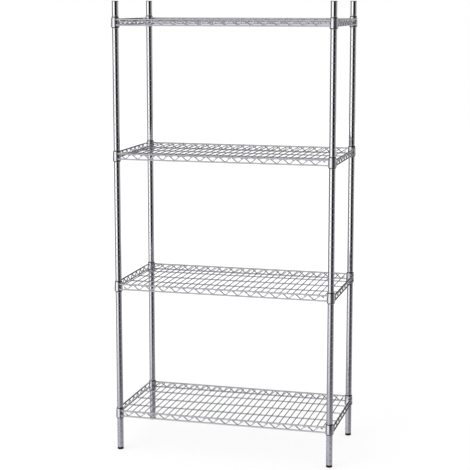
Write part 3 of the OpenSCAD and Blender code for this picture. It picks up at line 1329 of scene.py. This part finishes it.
@dataclass(frozen=True)
class Studio:
    """A plain white studio. What the metal mirrors are its white walls, with dark flags between them."""

    brightest: float = 1.5
    walls: StudioBand = StudioBand(0, 0, (
        (-180, 0.7), (-173, 0.7), (-169, 0.05), *SIDE_WALLS, (169, 0.05), (173, 0.7), (180, 0.7),
    ))
    bands: tuple[StudioBand, ...] = (
        StudioBand(7, 11, ((-180, 0.05), *SIDE_WALLS, (180, 0.05))),
        StudioBand(15, 21, (
            (-180, 0.06), (-140, 0.06), (-128, 0.3), (-112, 1.1), (-38, 1.1), (-28, 0.3), (10, 0.25),
            (28, 0.03), (140, 0.03), (155, 0.06), (180, 0.06),
        )),
        StudioBand(50, 62, (
            (-180, 0.3), (-120, 0.35), (-100, 0.7), (-32, 0.7), (-24, 1.0), (-6, 1.0), (4, 0.1), (100, 0.1),
            (130, 0.3), (180, 0.3),
        )),
        StudioBand(-10, -18, (
            (-180, 0.46), (-110, 0.52), (-60, 0.58), (-10, 0.6), (12, 0.22), (35, 0.13), (75, 0.13),
            (100, 0.25), (150, 0.42), (180, 0.46),
        ), GROUND_TINT),
        StudioBand(-15.8, -18.4, (
            (-180, 0.46), (-110, 0.52), (-60, 0.58), (-10, 0.6), (30, 0.44), (60, 0.37), (100, 0.37),
            (150, 0.42), (180, 0.46),
        ), GROUND_TINT),
        StudioBand(-18.5, -22, (
            (-180, 0.3), (-150, 0.05), (-60, 0.03), (-38, 0.05), (-26, 0.45), (-14, 0.66), (5, 0.6),
            (30, 0.5), (60, 0.55), (140, 0.55), (165, 0.35), (180, 0.3),
        ), GROUND_TINT),
        StudioBand(-45, -58, (
            (-180, 0.35), (-120, 0.4), (-100, 0.6), (-32, 0.6), (-24, 0.9), (-6, 0.9), (4, 0.12),
            (100, 0.12), (140, 0.45), (180, 0.35),
        ), GROUND_TINT),
    )
    room_grey: Triple = (0.9, 0.9, 0.9)
    floor_grey: Triple = (0.3, 0.3, 0.3)
    floor_size: float = 30.0
    paper_reach: tuple[float, float] = (0.9, 2.6)
    paper_glow: tuple[float, float] = (0.72, 0.85)
    lamp_size: float = 3.5
    lamp_power: float = 55.0
    lamp_place: Triple = (-2.2, -3.0, 4.2)
    lamp_way: Triple = (2.2, 3.0, -3.2)

    def build(self) -> None:
        """Builds the world, the floor and the lamp, and sets the plain view."""
        scene = bpy.context.scene
        scene.view_settings.view_transform = "Standard"
        scene.world = bpy.data.worlds.new("studio")
        scene.world.use_nodes = True
        self.build_world(NodeBoard(scene.world.node_tree))
        self.build_floor()
        self.build_lamp()

    def build_world(self, board: NodeBoard) -> None:
        """Fills the world: white for the camera, grey for matt surfaces, walls and flags for the metal.

        Args:
            board: The world's board.
        """
        way = board.add("ShaderNodeTexCoord").outputs["Generated"]
        x, y, z = board.add("ShaderNodeSeparateXYZ", {"Vector": way}).outputs
        bearing = board.math("ARCTAN2", x, board.math("MULTIPLY", y, -1.0))
        share = board.math("MULTIPLY_ADD", bearing, 1 / math.tau, 0.5)
        height = board.math("MULTIPLY", board.math("ARCSINE", z), math.degrees(1))
        mirrored = board.colour_ramp(share, self.walls.stops(self.brightest))
        for band in self.bands:
            reached = board.ramp_between(height, band.begins, band.full)
            tones = board.colour_ramp(share, band.stops(self.brightest))
            mirrored = board.mix_colour(reached, mirrored, tones)
        feeds = {0: mirrored, "Scale": self.brightest}
        bright = board.add("ShaderNodeVectorMath", feeds, operation="SCALE").outputs["Vector"]
        path = board.add("ShaderNodeLightPath").outputs
        shown = board.mix_colour(path["Is Glossy Ray"], self.room_grey, bright)
        shown = board.mix_colour(path["Is Camera Ray"], shown, WHITE)
        background = board.add("ShaderNodeBackground", {"Color": shown})
        board.add("ShaderNodeOutputWorld", {"Surface": background.outputs["Background"]})

    def build_floor(self) -> None:
        """Lays the pale floor, which keeps a soft shadow and which the metal doesn't mirror."""
        board = MaterialBoard("pale_floor")
        distance = board.add("ShaderNodeVectorMath", {0: board.place}, operation="LENGTH").outputs["Value"]
        paper = board.ramp_between(distance, *self.paper_reach, *self.paper_glow)
        seen = board.add("ShaderNodeLightPath").outputs["Is Camera Ray"]
        feeds = {"Color": WHITE, "Strength": board.math("MULTIPLY", seen, paper)}
        glow = board.add("ShaderNodeEmission", feeds)
        matt = board.add("ShaderNodeBsdfDiffuse", {"Color": self.floor_grey})
        both = board.add("ShaderNodeAddShader", {0: matt.outputs["BSDF"], 1: glow.outputs["Emission"]})
        select_only()
        bpy.ops.mesh.primitive_plane_add(size=self.floor_size, location=(0, 0, 0))
        floor = bpy.context.object
        floor.name = "studio_floor"
        floor.data.materials.append(board.covered_by(both.outputs["Shader"]))
        floor.visible_glossy = False

    def build_lamp(self) -> None:
        """Hangs one large soft lamp over the front left."""
        data = bpy.data.lights.new("soft_lamp", "AREA")
        data.shape = "DISK"
        data.size = self.lamp_size
        data.energy = self.lamp_power
        lamp = bpy.data.objects.new("soft_lamp", data)
        lamp.location = self.lamp_place
        lamp.rotation_euler = Vector(self.lamp_way).to_track_quat("-Z", "Y").to_euler()
        lamp.visible_glossy = False
        bpy.context.scene.collection.objects.link(lamp)


def clear_strays() -> None:
    """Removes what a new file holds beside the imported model."""
    kept = set(frame["nodes"].values()) | set(frame["bodies"].values())
    for thing in [thing for thing in bpy.data.objects if thing not in kept]:
        bpy.data.objects.remove(thing)


def main() -> None:
    """Builds the camera, the studio and the object."""
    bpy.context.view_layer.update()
    clear_strays()
    PhotoCamera().build()
    Studio().build()
    materials = {slot: finish.material() for slot, finish in FINISHES.items()}
    posts = PostAssembly(materials)
    posts.build()
    posts.build_sleeves()
    posts.dress_inserts()
    WireShelf(materials).build()


if __name__ == "__main__":
    main()
